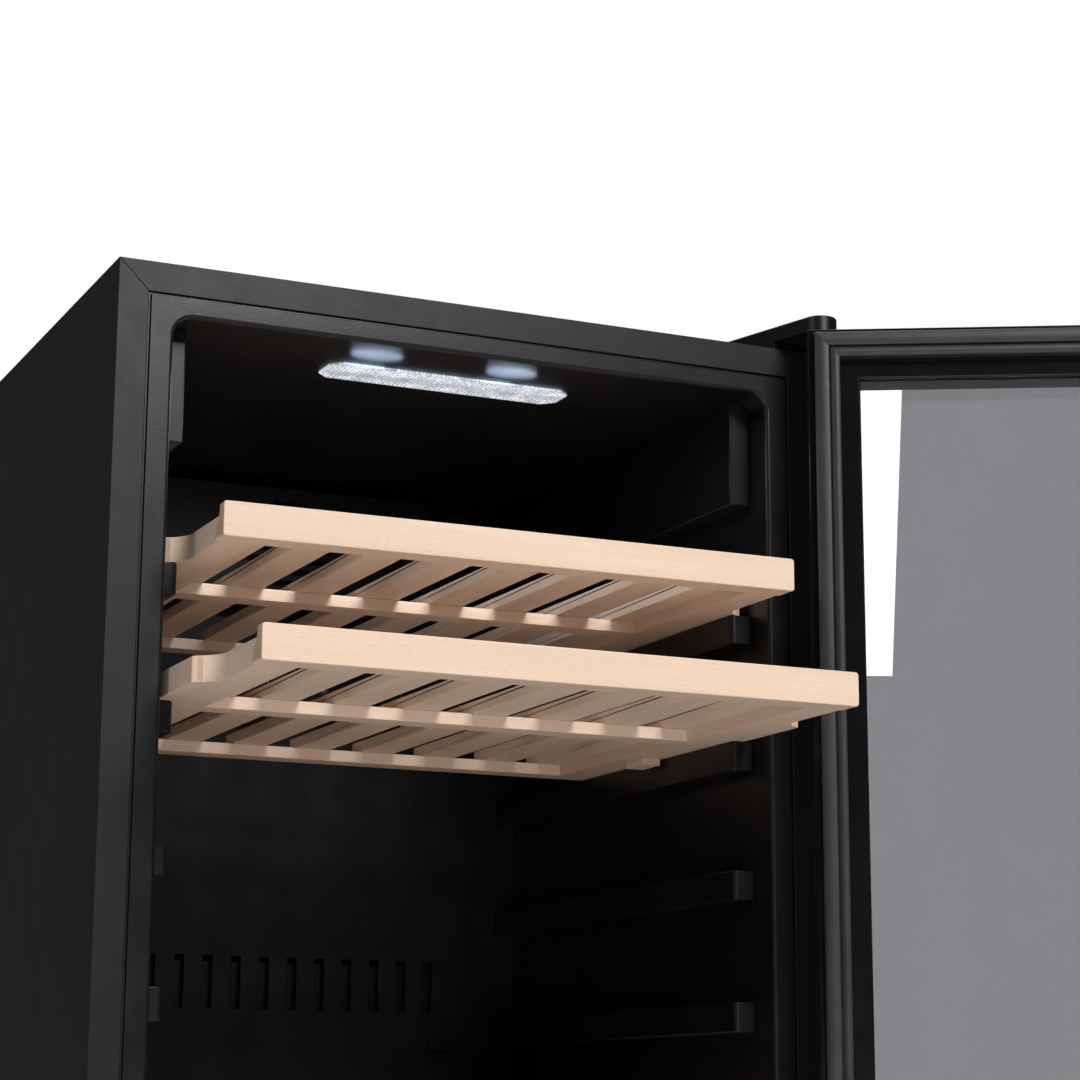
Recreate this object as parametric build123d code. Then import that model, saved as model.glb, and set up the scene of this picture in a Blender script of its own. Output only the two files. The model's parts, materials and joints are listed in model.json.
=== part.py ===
"""Free-standing wine cooler: insulated steel cabinet, glass door, five beech shelves.

Millimetres. The origin is on the floor, under the middle of the cabinet. +X is to the
right seen from the front, +Y is to the rear and +Z is up. The rest pose has the door
open and the two upper shelves pulled out; the other three shelves are pushed in.
"""
import math
import os

from build123d import *

# ---- cabinet ----
WIDTH = 550.0
DEPTH = 530.0
TOP = 1270.0  # top of the cabinet above the floor
SHEET = 1.0
FLANGE = 21.8  # folded front edge of the outer panels
RETURN = 10.0
GROOVE = 2.0
MITRE_REACH = 60.0
FOOT_HEIGHT = 20.0
PLINTH_TOP = 98.0
BASE_THICK = 2.0
FOOT_X = 235.0
FOOT_INSET = 40.0
FOOT_RADIUS = 20.0
FOOT_PAD = 12.0
STUD_RADIUS = 5.0

HALF = WIDTH / 2
FRONT = -DEPTH / 2
REAR = DEPTH / 2

# ---- inner liner ----
OPEN_SIDE = 40.75  # cabinet's outer side to the opening
OPEN_TOP = 37.7
OPEN_RADIUS = 14.0
LINER = 2.0
CAVITY_X = HALF - OPEN_SIDE
CAVITY_TOP = TOP - OPEN_TOP
CAVITY_BOTTOM = 140.0
CAVITY_REAR = 205.0
HUMP_FRONT = 15.0
HUMP_TOP = 360.0
RECESS = (150.0, 235.0, 820.0, 1100.0)  # half width, rear, bottom, top
COMPARTMENT_FRONT = 47.0
COMPARTMENT_TOP = 326.0

# ---- lamp, set into the liner's ceiling ----
LAMP_X = 97.0  # half length
LAMP_FRONT = FRONT + 56.5
LAMP_REAR = FRONT + 96.0
LAMP_CHAMFER = 9.0
LAMP_DROP = 1.5  # lens below the ceiling
LAMP_DEEP = 12.0  # housing above the ceiling
LAMP_WALL = 1.5
LAMP_RIM = 1.0  # lens wider than the housing all round
LATCH_X = 51.5

# ---- cold air ----
DUCT_X = 140.0
DUCT_FRONT = 165.0
DUCT_BOTTOM = 1124.0
DUCT_TOP = 1226.0
DUCT_WALL = 2.0
FAN_Z = 1175.0
FAN_RADIUS = 40.0
FAN_DEEP = 24.0
COVER_X = 185.0
COVER_FRONT = 197.0
COVER_BOTTOM = 420.0
COVER_THICK = 3.0
FILTER_X = -130.0
FILTER_Z = 727.0
FILTER_RADIUS = 24.0

# ---- machinery ----
COMPRESSOR = (-100.0, 160.0)
MOUNT_X = 76.0  # rubber mounts, from the compressor's middle
MOUNT_Y = 42.0
CONDENSER_FAN_RADIUS = 66.0
CONDENSER_FAN_DEEP = 30.0

# ---- shelf runners ----
LEVEL_1 = TOP - 205.5  # underside of the top shelf's rails
PITCH = 96.5
LEVELS = 8
RUNNER_OUT = 17.0
RUNNER_HEIGHT = 22.0
RUNNER_FRONT = FRONT + 28.0
RUNNER_X = CAVITY_X - RUNNER_OUT
TOP_BLOCK_BOTTOM = 1150.0

# ---- shelves ----
BOARD_X = 216.5  # half width of the front board
BOARD_DEEP = 20.0
BOARD_HIGH = 24.0
BOARD_TOP_DEEP = 9.0  # the rear of the board slopes down and back
BOARD_SLOPE_TOP = 18.0
BOARD_CORNER = 2.5
BOARD_EDGE = 1.0
RAIL_INNER = 188.0
RAIL_NARROW = 213.0
RAIL_WIDE = 229.0
RAIL_HIGH = 18.0
SCOOP_START = 80.0
SCOOP_END = 103.0
SHELF_DEEP = 450.0
BAR_DEEP = 22.0
BAR_HIGH = 9.0
BAR_FRONTS = (202.0, SHELF_DEEP - BAR_DEEP)
STOP_HIGH = 6.0
SLAT_WIDE = 28.0
SLAT_PITCH = 53.5
SLAT_COUNT = 6
END_SLAT_WIDE = 21.0
PUSHED_IN = 8.0  # front board behind the cabinet's front when pushed in
SHELVES = {1: (1, 70.0), 2: (2, 156.0), 3: (5, -PUSHED_IN), 4: (6, -PUSHED_IN), 5: (8, -PUSHED_IN)}

# ---- door, drawn closed and then turned about the hinge axis ----
HINGE_X = HALF - 10.0
HINGE_Y = FRONT - 30.0
DOOR_OPEN = 151.0
DOOR_LEFT = -HALF + 1.0
DOOR_RIGHT = HALF
DOOR_BOTTOM = 106.0
DOOR_TOP = TOP + 4.5
DOOR_OUTER = HINGE_Y - 22.0
DOOR_INNER = FRONT - 12.0
OUTER_PANE = 5.0
INNER_PANE = 4.0
PANE_Y = DOOR_INNER - 3.0  # inner pane's room side
LIP_EDGE = 39.3  # door's edge to the inner edge of the frame's lip
PANE_EDGE = 27.0
SPACER_EDGE = 31.5
SPACER_WIDE = 8.0
GASKET_EDGE = 5.0
GASKET_GAP = 0.4
BAND_WIDE = 10.8
GASKET_GROOVE = 1.2
BELLOWS_WIDE = 7.0
PIN_RADIUS = 4.0
BUSH_RADIUS = 7.0
BUSH_LENGTH = 24.0
PIN_DEPTH = 22.0  # length of the pin inside the door
RUNNING_GAP = 0.05
NOSE_RADIUS = 13.0
ARM_RADIUS = 11.0
ARM_THICK = 3.0
ARM_LOW = DOOR_TOP + 2.0  # underside of the top bracket's arm
ARM_TOP = ARM_LOW + ARM_THICK
CAP_LOW = DOOR_TOP + 1.0
CAP_HIGH = TOP + 17.5
CAP_WALL = 1.6
SCREW_HEAD = 5.5
SCREW_SHANK = 2.9
TOP_SCREW_X = HALF - 18.0
TOP_SCREW_YS = (FRONT + 28.0, FRONT + 50.0)
PLINTH_SCREW_X = HALF - 12.0
PLINTH_SCREW_ZS = (56.0, 78.0)
HANDLE_RADIUS = 7.0
HANDLE_LENGTH = 340.0
HANDLE_OFF = 36.0
HANDLE_MIDDLE = 720.0


def block(x0, x1, y0, y1, z0, z1):
    """A box between two corners."""
    return Pos((x0 + x1) / 2, (y0 + y1) / 2, (z0 + z1) / 2) * Box(x1 - x0, y1 - y0, z1 - z0)


def rod(x, y, z0, z1, radius):
    """An upright cylinder."""
    return Pos(x, y, (z0 + z1) / 2) * Cylinder(radius, z1 - z0)


def lying(x, y0, y1, z, radius):
    """A cylinder along Y."""
    return Pos(x, (y0 + y1) / 2, z) * Rot(90, 0, 0) * Cylinder(radius, y1 - y0)


def across(x0, x1, y, z, radius):
    """A cylinder along X."""
    return Pos((x0 + x1) / 2, y, z) * Rot(0, 90, 0) * Cylinder(radius, x1 - x0)


def prism(points, z0, z1):
    """An upright prism on a closed outline of XY points."""
    face = make_face(Polyline(*points, close=True))
    return Pos(0, 0, z0) * extrude(face, z1 - z0, dir=(0, 0, 1))


def mirrored(shape):
    """The same shape on the other side of the cabinet's middle plane."""
    return mirror(shape, about=Plane.YZ)


def group(*solids):
    """Separate solids kept in one node."""
    return Compound(children=list(solids))


# ---------------------------------------------------------------- outer case


def mitre_wedge():
    """The space above the 45-degree joint between the left side and the top."""
    x0 = -HALF - MITRE_REACH
    x1 = -HALF + MITRE_REACH
    high = TOP + MITRE_REACH
    y = FRONT - 5
    outline = Polyline((x0, y, high), (x1, y, TOP - MITRE_REACH), (x1, y, high), close=True)
    return extrude(make_face(outline), DEPTH + 10, dir=(0, 1, 0))


def side_panel():
    """Left side: a sheet with its front edge folded in and back."""
    wall = block(-HALF, -HALF + SHEET, FRONT, REAR, FOOT_HEIGHT, TOP)
    lip = block(-HALF, -HALF + FLANGE, FRONT, FRONT + SHEET, FOOT_HEIGHT, TOP)
    back = block(
        -HALF + FLANGE - SHEET, -HALF + FLANGE, FRONT, FRONT + RETURN, PLINTH_TOP, TOP
    )
    return wall + lip + back - mitre_wedge()


def top_panel():
    """Top sheet, mitred to both sides, with its front edge folded down and back."""
    sheet = block(-HALF, HALF, FRONT, REAR, TOP - SHEET, TOP)
    lip = block(-HALF, HALF, FRONT, FRONT + SHEET, TOP - FLANGE, TOP)
    back = block(-HALF, HALF, FRONT, FRONT + RETURN, TOP - FLANGE, TOP - FLANGE + SHEET)
    wedge = mitre_wedge()
    x = HALF - MITRE_REACH
    keep = block(-x, x, FRONT - 5, REAR + 5, TOP - MITRE_REACH, TOP + MITRE_REACH)
    return (sheet + lip + back) & (keep + wedge + mirrored(wedge))


def back_panel():
    return block(
        -HALF + SHEET, HALF - SHEET, REAR - SHEET, REAR, COMPARTMENT_TOP, TOP - SHEET
    )


def rear_grille():
    """Louvred cover of the machine compartment."""
    plate = block(-HALF + SHEET, HALF - SHEET, REAR - SHEET, REAR, 24.0, COMPARTMENT_TOP)
    for side in (-1, 1):
        for z in range(120, 300, 16):
            plate -= block(
                side * 130 - 90, side * 130 + 90, REAR - 5, REAR + 5, z, z + 7
            )
    return plate - block(-248, -192, REAR - 5, REAR + 5, 58, 92)


def base_plate():
    """Floor of the machine compartment, with a hole for each front foot's stud."""
    x = HALF - SHEET
    top = FOOT_HEIGHT + BASE_THICK
    plate = block(-x, x, FRONT + 6, REAR - SHEET, FOOT_HEIGHT, top)
    for side in (-FOOT_X, FOOT_X):
        plate -= rod(side, FRONT + FOOT_INSET, FOOT_HEIGHT - 1, top + 1, STUD_RADIUS + 0.6)
    return plate


def compartment_panel():
    """Stepped sheet that closes the foam above the machine compartment."""
    x = HALF - SHEET
    rear = COMPARTMENT_FRONT + SHEET
    floor = block(-x, x, FRONT + 8, rear, PLINTH_TOP - 2, PLINTH_TOP - 1)
    riser = block(-x, x, COMPARTMENT_FRONT, rear, PLINTH_TOP - 2, COMPARTMENT_TOP)
    lid = block(
        -x, x, COMPARTMENT_FRONT, REAR - SHEET, COMPARTMENT_TOP - SHEET, COMPARTMENT_TOP
    )
    return floor + riser + lid


def front_sill():
    """Front rail under the opening, from side to side."""
    x = HALF - FLANGE
    face = block(-x, x, FRONT, FRONT + SHEET, PLINTH_TOP, PLINTH_TOP + FLANGE)
    back = block(
        -x, x, FRONT, FRONT + RETURN, PLINTH_TOP + FLANGE - SHEET, PLINTH_TOP + FLANGE
    )
    under = block(-x, x, FRONT, FRONT + RETURN, PLINTH_TOP, PLINTH_TOP + SHEET)
    return face + back + under


def kick_plate():
    """Slotted plinth grille below the door, behind the side panels' flanges."""
    x = HALF - FLANGE + 4
    floor = FOOT_HEIGHT + BASE_THICK
    plate = block(-x, x, FRONT + SHEET, FRONT + 5, floor, PLINTH_TOP)
    for middle in range(-209, 210, 22):
        plate -= block(middle - 7, middle + 7, FRONT - 1, FRONT + 7, 40, 80)
    return plate


# ---------------------------------------------------------------- inner liner


def cavity():
    """The cold space, without runners."""
    middle = (CAVITY_TOP + CAVITY_BOTTOM) / 2
    height = CAVITY_TOP - CAVITY_BOTTOM
    mouth = Plane((0, FRONT, middle), x_dir=(1, 0, 0), z_dir=(0, 1, 0))
    outline = mouth * RectangleRounded(2 * CAVITY_X, height, OPEN_RADIUS)
    space = extrude(outline, CAVITY_REAR - FRONT, dir=(0, 1, 0))
    hump = block(
        -CAVITY_X, CAVITY_X, HUMP_FRONT, CAVITY_REAR, CAVITY_BOTTOM, HUMP_TOP
    )
    half, rear, low, high = RECESS
    return space - hump + block(-half, half, CAVITY_REAR - 1, rear, low, high)


def liner_envelope():
    """The liner's outside, a wall thickness larger than the cavity."""
    x = CAVITY_X + LINER
    tall = block(
        -x, x, FRONT + SHEET, CAVITY_REAR + LINER, CAVITY_BOTTOM - LINER, CAVITY_TOP + LINER
    )
    under_hump = block(
        -x - 1, x + 1, HUMP_FRONT + LINER, CAVITY_REAR + 9, CAVITY_BOTTOM - 9, HUMP_TOP - LINER
    )
    half, rear, low, high = RECESS
    pocket = block(
        -half - LINER, half + LINER, CAVITY_REAR, rear + LINER, low - LINER, high + LINER
    )
    return tall - under_hump + pocket


def inner_liner(space):
    """Formed liner: a thin box with a flange round its mouth, stepped back at its edge."""
    x = HALF - FLANGE
    low = PLINTH_TOP + FLANGE
    high = TOP - FLANGE
    step = block(-x, x, FRONT + LINER, FRONT + 2 * LINER, low, high)
    flange = block(
        -x + GROOVE, x - GROOVE, FRONT, FRONT + LINER, low + GROOVE, high - GROOVE
    )
    lamp = prism(lamp_outline(LAMP_RIM), CAVITY_TOP - 1, CAVITY_TOP + LINER + 1)
    return liner_envelope() + step + flange - space - lamp


def insulation():
    """Foam between the case and the liner."""
    x = HALF - SHEET
    foam = block(-x, x, FRONT + RETURN, REAR - SHEET, PLINTH_TOP, TOP - SHEET)
    rear = REAR + 1
    machine = block(
        -x, x, COMPARTMENT_FRONT, rear, PLINTH_TOP - 1, COMPARTMENT_TOP
    )
    mouth = block(
        -CAVITY_X - LINER, CAVITY_X + LINER, FRONT, FRONT + 20,
        CAVITY_BOTTOM - LINER, CAVITY_TOP + LINER,
    )
    lamp = prism(lamp_outline(LAMP_RIM), CAVITY_TOP, CAVITY_TOP + LAMP_DEEP)
    return foam - machine - liner_envelope() - mouth - lamp


def runners():
    """Right-hand shelf runners: a ledge at each level and a block above the top shelf."""
    made = []
    for n in range(LEVELS):
        top = LEVEL_1 - n * PITCH - 0.4
        rear = CAVITY_REAR if top - RUNNER_HEIGHT > HUMP_TOP else HUMP_FRONT
        ledge = block(
            RUNNER_X, CAVITY_X, RUNNER_FRONT, rear, top - RUNNER_HEIGHT, top
        )
        front = ledge.edges().filter_by(Axis.Z).sort_by(Axis.Y)[:2].sort_by(Axis.X)[:1]
        made.append(fillet(front, 4.0))
    block_above = block(
        RUNNER_X, CAVITY_X, RUNNER_FRONT, CAVITY_REAR, TOP_BLOCK_BOTTOM, CAVITY_TOP
    )
    corner = (
        block_above.edges().filter_by(Axis.Y).sort_by(Axis.Z)[-2:].sort_by(Axis.X)[-1:]
    )
    made.append(fillet(corner, OPEN_RADIUS))
    return made


# ---------------------------------------------------------------- lamp


def lamp_outline(inset):
    """Long rectangle with chamfered corners, seen from above."""
    x = LAMP_X - inset
    y0 = LAMP_FRONT + inset
    y1 = LAMP_REAR - inset
    c = LAMP_CHAMFER
    return [
        (-x + c, y0), (x - c, y0), (x, y0 + c), (x, y1 - c),
        (x - c, y1), (-x + c, y1), (-x, y1 - c), (-x, y0 + c),
    ]


def lamp_housing():
    """Tray let into the ceiling, open downwards, with two latches on its front wall."""
    high = CAVITY_TOP + LAMP_DEEP
    tray = prism(lamp_outline(LAMP_RIM), CAVITY_TOP, high)
    tray -= prism(lamp_outline(LAMP_RIM + LAMP_WALL), CAVITY_TOP - 1, high - LAMP_WALL)
    front = LAMP_FRONT + LAMP_RIM
    for x in (-LATCH_X, LATCH_X):
        tray += block(
            x - 5, x + 5, front, front + LAMP_WALL, CAVITY_TOP - LAMP_DROP, CAVITY_TOP + 1
        )
    return tray


def lamp_diffuser():
    """Clear lens under the housing, notched round the latches."""
    low = CAVITY_TOP - LAMP_DROP
    lens = prism(lamp_outline(0.0), low, CAVITY_TOP)
    lens = chamfer(lens.edges().group_by(Axis.Z)[0], 0.6)
    rear = LAMP_FRONT + LAMP_RIM + LAMP_WALL + 0.3
    for x in (-LATCH_X, LATCH_X):
        lens -= block(x - 5.5, x + 5.5, LAMP_FRONT - 1, rear, low - 1, CAVITY_TOP + 1)
    return lens


def led_board():
    """Circuit strip with its row of light-emitting diodes."""
    high = CAVITY_TOP + LAMP_DEEP - LAMP_WALL
    middle = (LAMP_FRONT + LAMP_REAR) / 2
    board = block(-84, 84, middle - 9, middle + 9, high - 1.2, high)
    diodes = [
        block(x - 2, x + 2, middle - 2, middle + 2, high - 2.0, high - 1.2)
        for x in range(-77, 78, 14)
    ]
    return group(board, *diodes)


# ---------------------------------------------------------------- cooling


def fan_duct():
    """Box at the top of the rear wall, with a grille in front of the fan."""
    outer = block(-DUCT_X, DUCT_X, DUCT_FRONT, CAVITY_REAR, DUCT_BOTTOM, DUCT_TOP)
    edges = outer.edges().filter_by(Axis.Z).sort_by(Axis.Y)[:2]
    shell = fillet(edges, 8.0) - block(
        -DUCT_X + DUCT_WALL, DUCT_X - DUCT_WALL, DUCT_FRONT + DUCT_WALL, CAVITY_REAR + 1,
        DUCT_BOTTOM + DUCT_WALL, DUCT_TOP - DUCT_WALL,
    )
    for z in range(1140, 1214, 10):
        reach = math.sqrt(FAN_RADIUS**2 - (z + 2.5 - FAN_Z) ** 2)
        shell -= block(-reach, reach, DUCT_FRONT - 1, DUCT_FRONT + 3, z, z + 5)
    return shell


def rear_cover():
    """Flat cover over the evaporator, with rows of air slots."""
    high = DUCT_BOTTOM - 2
    plate = block(
        -COVER_X, COVER_X, COVER_FRONT, COVER_FRONT + COVER_THICK, COVER_BOTTOM, high
    )
    rim = block(COVER_X - 2, COVER_X, COVER_FRONT, CAVITY_REAR, COVER_BOTTOM, high)
    plate = plate + rim + mirrored(rim)
    for x in range(-150, 151, 25):
        for z in (450, 540, 780, 1020):
            plate -= block(x - 4, x + 4, COVER_FRONT - 1, COVER_FRONT + 4, z, z + 44)
    return plate


def evaporator():
    """Fins threaded on two tube passes, behind the cover."""
    fins = [block(x, x + 0.8, 208, 232, 840, 1080) for x in range(-140, 141, 14)]
    tubes = [across(-146, 146, 220, z, 4.0) for z in range(860, 1080, 40)]
    body = tubes[0]
    for piece in fins + tubes[1:]:
        body += piece
    for i, z in enumerate(range(860, 1040, 40)):
        side = 146 if i % 2 else -146
        body += rod(side, 220, z - 4, z + 44, 4.0)
    return body


def fan_frame(radius, deep):
    """Square fan frame about the Y axis, centred on zero, with motor and spokes."""
    half = radius + 4
    frame = block(-half, half, -deep / 2, deep / 2, -half, half)
    frame -= lying(0, -deep, deep, 0, radius + 1.5)
    motor = lying(0, deep / 2 - 6, deep / 2, 0, radius * 0.38)
    for turn in (45, 135):
        spoke = block(-half * 1.2, half * 1.2, deep / 2 - 4, deep / 2, -2, 2)
        motor += Rot(0, turn, 0) * spoke
    return frame + (motor & block(-half, half, -deep, deep, -half, half))


def fan_rotor(radius, deep, blades):
    """Hub with pitched blades, turning about the Y axis."""
    hub = lying(0, -deep / 2 + 1, deep / 2 - 7, 0, radius * 0.38)
    blade = Pos(radius * 0.62, 0, 0) * Rot(35, 0, 0) * Box(
        radius * 0.62, 1.6, radius * 0.5
    )
    rotor = hub
    for n in range(blades):
        rotor += Rot(0, n * 360 / blades, 0) * blade
    keep = lying(0, -deep / 2 + 1, deep / 2 - 7, 0, radius - 0.5)
    return rotor & keep


def charcoal_filter():
    """Round vent cartridge on the rear cover, above the third shelf."""
    body = lying(FILTER_X, COVER_FRONT - 6, COVER_FRONT, FILTER_Z, FILTER_RADIUS)
    rim = fillet(body.edges().sort_by(Axis.Y)[:1], 2.0)
    for offset in range(-16, 17, 8):
        x = FILTER_X + offset
        rim -= block(
            x - 1.5, x + 1.5, COVER_FRONT - 7, COVER_FRONT - 3, FILTER_Z - 14, FILTER_Z + 14
        )
    return rim


def temperature_sensor():
    """Small clip with the sensor bulb."""
    clip = block(150, 176, COVER_FRONT - 4, COVER_FRONT, 742, 758)
    return clip + Pos(163, COVER_FRONT - 6, 750) * Rot(0, 90, 0) * Cylinder(3, 22)


# ---------------------------------------------------------------- machinery


def compressor():
    """Sealed shell with a domed top on a foot plate, and two stub pipes."""
    x, y = COMPRESSOR
    shell = rod(x, y, 40, 175, 72)
    shell = fillet(shell.edges().sort_by(Axis.Z)[-1:], 40.0)
    seam = rod(x, y, 104, 108, 75)
    foot = block(x - 90, x + 90, y - 55, y + 55, 36, 40)
    for dx in (-MOUNT_X, MOUNT_X):
        for dy in (-MOUNT_Y, MOUNT_Y):
            foot -= rod(x + dx, y + dy, 30, 44, 6.5)
    pipes = across(x + 60, x + 96, y, 130, 4) + across(x + 60, x + 96, y - 20, 90, 5)
    return shell + seam + foot + pipes


def compressor_mounts():
    """Four rubber feet under the compressor."""
    x, y = COMPRESSOR
    return group(*[
        rod(x + dx, y + dy, 22, 36, 12) + rod(x + dx, y + dy, 36, 46, 6)
        for dx in (-MOUNT_X, MOUNT_X)
        for dy in (-MOUNT_Y, MOUNT_Y)
    ])


def condenser():
    """Serpentine tube block with cooling plates."""
    tubes = [lying(x, 80, 230, z, 4.0) for x in (90, 125, 160) for z in range(50, 231, 30)]
    plates = [block(76, 174, y, y + 1.0, 36, 246) for y in range(88, 226, 16)]
    body = tubes[0]
    for piece in tubes[1:] + plates:
        body += piece
    return body + block(76, 174, 80, 82, 22, 246) + block(76, 174, 228, 230, 22, 246)


def drain_tray():
    """Evaporation tray over the compressor."""
    tray = block(-175, -25, 85, 235, 182, 212)
    return tray - block(-172, -28, 88, 232, 185, 213)


def drain_pipe():
    """Outlet from the liner's floor into the tray."""
    return rod(-100, 225, 200, 250, 7) - rod(-100, 225, 199, 251, 5)


def control_box():
    """Electronics case with its board."""
    return block(196, 268, 70, 230, 200, 312) - block(198, 266, 72, 228, 202, 313)


def control_board():
    board = block(200, 264, 76, 224, 214, 216)
    parts = [
        block(206, 228, 90, 118, 216, 240),
        block(236, 258, 90, 130, 216, 232),
        rod(216, 150, 216, 246, 9),
        rod(246, 160, 216, 238, 7),
    ]
    return group(board, *parts)


def power_inlet():
    """Appliance inlet in the rear grille, with its earth pin and two live pins."""
    body = block(-248, -192, REAR - 20, REAR + 2, 58, 92)
    body -= block(-232, -208, REAR - 14, REAR + 3, 67, 83)
    for x, z in ((-226, 72), (-214, 72), (-220, 79)):
        body += block(x - 1, x + 1, REAR - 15, REAR - 2, z - 2, z + 2)
    return body


# ---------------------------------------------------------------- feet


def front_foot(x):
    """Levelling foot: a pad on a stud."""
    y = FRONT + FOOT_INSET
    pad = rod(x, y, 0, FOOT_PAD, FOOT_RADIUS)
    pad = chamfer(pad.edges().sort_by(Axis.Z)[-1:], 3.0)
    return pad + rod(x, y, FOOT_PAD, 44, STUD_RADIUS)


def rear_feet():
    return group(*[
        rod(x, REAR - FOOT_INSET, 0, FOOT_HEIGHT, 18) for x in (-FOOT_X, FOOT_X)
    ])


# ---------------------------------------------------------------- hinges


def tongue(back_left, back_y, radius, z0, z1):
    """A plate that narrows towards a round nose on the hinge axis."""
    right = HINGE_X + radius * 0.9
    outline = [
        (HINGE_X - radius * 0.96, HINGE_Y - radius * 0.28),
        (right, HINGE_Y - radius * 0.1),
        (right, back_y),
        (back_left, back_y),
    ]
    return rod(HINGE_X, HINGE_Y, z0, z1, radius) + prism(outline, z0, z1)


def top_bracket():
    """Steel bracket: a foot on the cabinet's top, a riser and an arm over the door."""
    left = HALF - 31.5
    right = HALF - 4
    front = FRONT + 12
    rear = FRONT + 62
    arm = tongue(left, front, ARM_RADIUS, ARM_LOW, ARM_TOP)
    foot = prism(
        [(left, front), (right, front), (right, rear), (HALF - 45, rear)], TOP, TOP + ARM_THICK
    )
    riser = block(left, right, front - ARM_THICK, front, TOP, ARM_TOP)
    plate = arm + foot + riser
    plate -= rod(HINGE_X, HINGE_Y, ARM_LOW - 1, ARM_TOP + 1, PIN_RADIUS)
    for y in TOP_SCREW_YS:
        plate -= rod(TOP_SCREW_X, y, TOP - 5, TOP + 5, 3.0)
    return plate


def top_cover():
    """Hollow plastic cap over the bracket, standing on the cabinet behind its front."""
    rear = FRONT + 66
    cap = tongue(HALF - 50, rear, NOSE_RADIUS, TOP, CAP_HIGH)
    cap = fillet(cap.edges().group_by(Axis.Z)[-1], 1.5)
    wall = CAP_WALL
    cap -= tongue(HALF - 50 + wall, rear - wall, NOSE_RADIUS - wall, TOP - 1, ARM_TOP)
    over_door = block(
        HALF - 60, HALF + 10, HINGE_Y - 20, FRONT + 2, TOP - 1, CAP_LOW
    )
    return cap - over_door


def hinge_pin(z0, z1):
    return rod(HINGE_X, HINGE_Y, z0, z1, PIN_RADIUS)


def bottom_bracket():
    """Angle screwed to the plinth, with an arm under the door."""
    high = DOOR_BOTTOM - 3
    left = HALF - 66
    rear = FRONT - 0.4
    arm = tongue(left, rear, ARM_RADIUS, high - 4, high)
    upright = block(left, HALF - 2, rear - ARM_THICK, rear, 40, high)
    plate = arm + upright - rod(HINGE_X, HINGE_Y, high - 10, high + 5, PIN_RADIUS)
    for z in PLINTH_SCREW_ZS:
        plate -= lying(PLINTH_SCREW_X, FRONT - 6, FRONT + 2, z, 3.0)
    return plate


def screw_upright(x, y, z):
    """Pan-head screw standing on a plate."""
    head = chamfer(rod(x, y, z, z + 3, SCREW_HEAD).edges().sort_by(Axis.Z)[-1:], 1.0)
    return head + rod(x, y, z - 10, z, SCREW_SHANK)


def hinge_screws():
    """Two screws in the top bracket's foot and two in the bottom bracket."""
    upright = [screw_upright(TOP_SCREW_X, y, TOP + ARM_THICK) for y in TOP_SCREW_YS]
    face = FRONT - 0.4 - ARM_THICK
    flat = [
        lying(PLINTH_SCREW_X, face - 3, face, z, SCREW_HEAD)
        + lying(PLINTH_SCREW_X, face, FRONT + 10, z, SCREW_SHANK)
        for z in PLINTH_SCREW_ZS
    ]
    return group(*upright, *flat)


# ---------------------------------------------------------------- door


def ring(outer, inner, y0, y1):
    """A rectangular frame, inset from the door's edges by outer and inner."""
    solid = block(
        DOOR_LEFT + outer, DOOR_RIGHT - outer, y0, y1, DOOR_BOTTOM + outer, DOOR_TOP - outer
    )
    hole = block(
        DOOR_LEFT + inner, DOOR_RIGHT - inner, y0 - 1, y1 + 1,
        DOOR_BOTTOM + inner, DOOR_TOP - inner,
    )
    return solid - hole


def opened(shape):
    """Turn a closed-door shape about the hinge axis to the rest pose."""
    axis = Axis((HINGE_X, HINGE_Y, 0), (0, 0, 1))
    return shape.rotate(axis, DOOR_OPEN)


def door_frame():
    """Profile round the panes, with a lip that laps the inner pane."""
    back = DOOR_OUTER + OUTER_PANE
    frame = ring(0.0, PANE_EDGE, back, PANE_Y) + ring(0.0, LIP_EDGE, PANE_Y, DOOR_INNER)
    for z0, z1 in (
        (DOOR_BOTTOM - 1, DOOR_BOTTOM + BUSH_LENGTH), (DOOR_TOP - BUSH_LENGTH, DOOR_TOP + 1)
    ):
        frame -= rod(HINGE_X, HINGE_Y, z0, z1, BUSH_RADIUS)
    return frame


def hinge_bush(z0, z1):
    return rod(HINGE_X, HINGE_Y, z0, z1, BUSH_RADIUS) - rod(
        HINGE_X, HINGE_Y, z0 - 1, z1 + 1, PIN_RADIUS + RUNNING_GAP
    )


def outer_glass():
    return block(
        DOOR_LEFT, DOOR_RIGHT, DOOR_OUTER, DOOR_OUTER + OUTER_PANE, DOOR_BOTTOM, DOOR_TOP
    )


def inner_glass():
    e = PANE_EDGE
    return block(
        DOOR_LEFT + e, DOOR_RIGHT - e, PANE_Y - INNER_PANE, PANE_Y,
        DOOR_BOTTOM + e, DOOR_TOP - e,
    )


def glass_spacer():
    return ring(
        SPACER_EDGE, SPACER_EDGE + SPACER_WIDE, DOOR_OUTER + OUTER_PANE, PANE_Y - INNER_PANE
    )


def door_gasket():
    """Magnetic band with a softer bellows along its inner side."""
    face = FRONT - GASKET_GAP
    groove = GASKET_EDGE + BAND_WIDE
    bellows = groove + GASKET_GROOVE
    return (
        ring(GASKET_EDGE, groove, DOOR_INNER, face)
        + ring(groove, bellows, DOOR_INNER, face - 5)
        + ring(bellows, bellows + BELLOWS_WIDE, DOOR_INNER, face - 1.5)
    )


def handle():
    """Bar handle near the door's free edge."""
    x = DOOR_LEFT + 34
    y = DOOR_OUTER - HANDLE_OFF
    low = HANDLE_MIDDLE - HANDLE_LENGTH / 2
    high = HANDLE_MIDDLE + HANDLE_LENGTH / 2
    bar = rod(x, y, low, high, HANDLE_RADIUS)
    return chamfer(bar.edges().filter_by(GeomType.CIRCLE), 1.5)


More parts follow.
